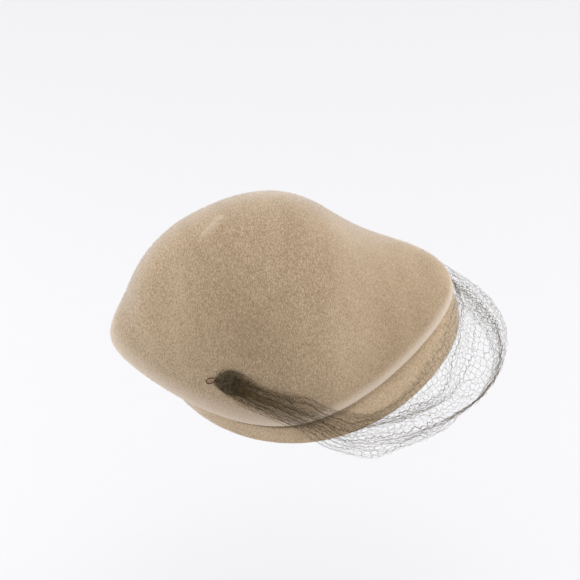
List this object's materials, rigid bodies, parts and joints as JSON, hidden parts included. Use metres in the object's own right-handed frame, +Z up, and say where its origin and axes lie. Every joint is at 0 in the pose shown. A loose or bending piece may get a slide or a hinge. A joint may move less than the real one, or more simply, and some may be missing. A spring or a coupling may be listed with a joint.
{
  "type": "percher hat",
  "caption": "Small moulded felt percher hat: a domed crown falling to a low visor front, a felt under-band round the head opening, and a bagged net veil gathered at both sides.",
  "frame": {"origin": "middle of the head opening, at the height of the band's lowest points", "axes": "+Z up, the hat's front towards -Y, its wearer's left towards +X"},
  "size_m": [0.1742, 0.2488, 0.15],
  "materials": {
    "crown_felt": "short velvety nap",
    "band_felt": "short velvety nap",
    "veil_net": "fine open net"
  },
  "bodies": {
    "root": {"crown_shell": "crown_felt", "under_band": "band_felt", "net_veil": "veil_net"}
  },
  "joints": []
}
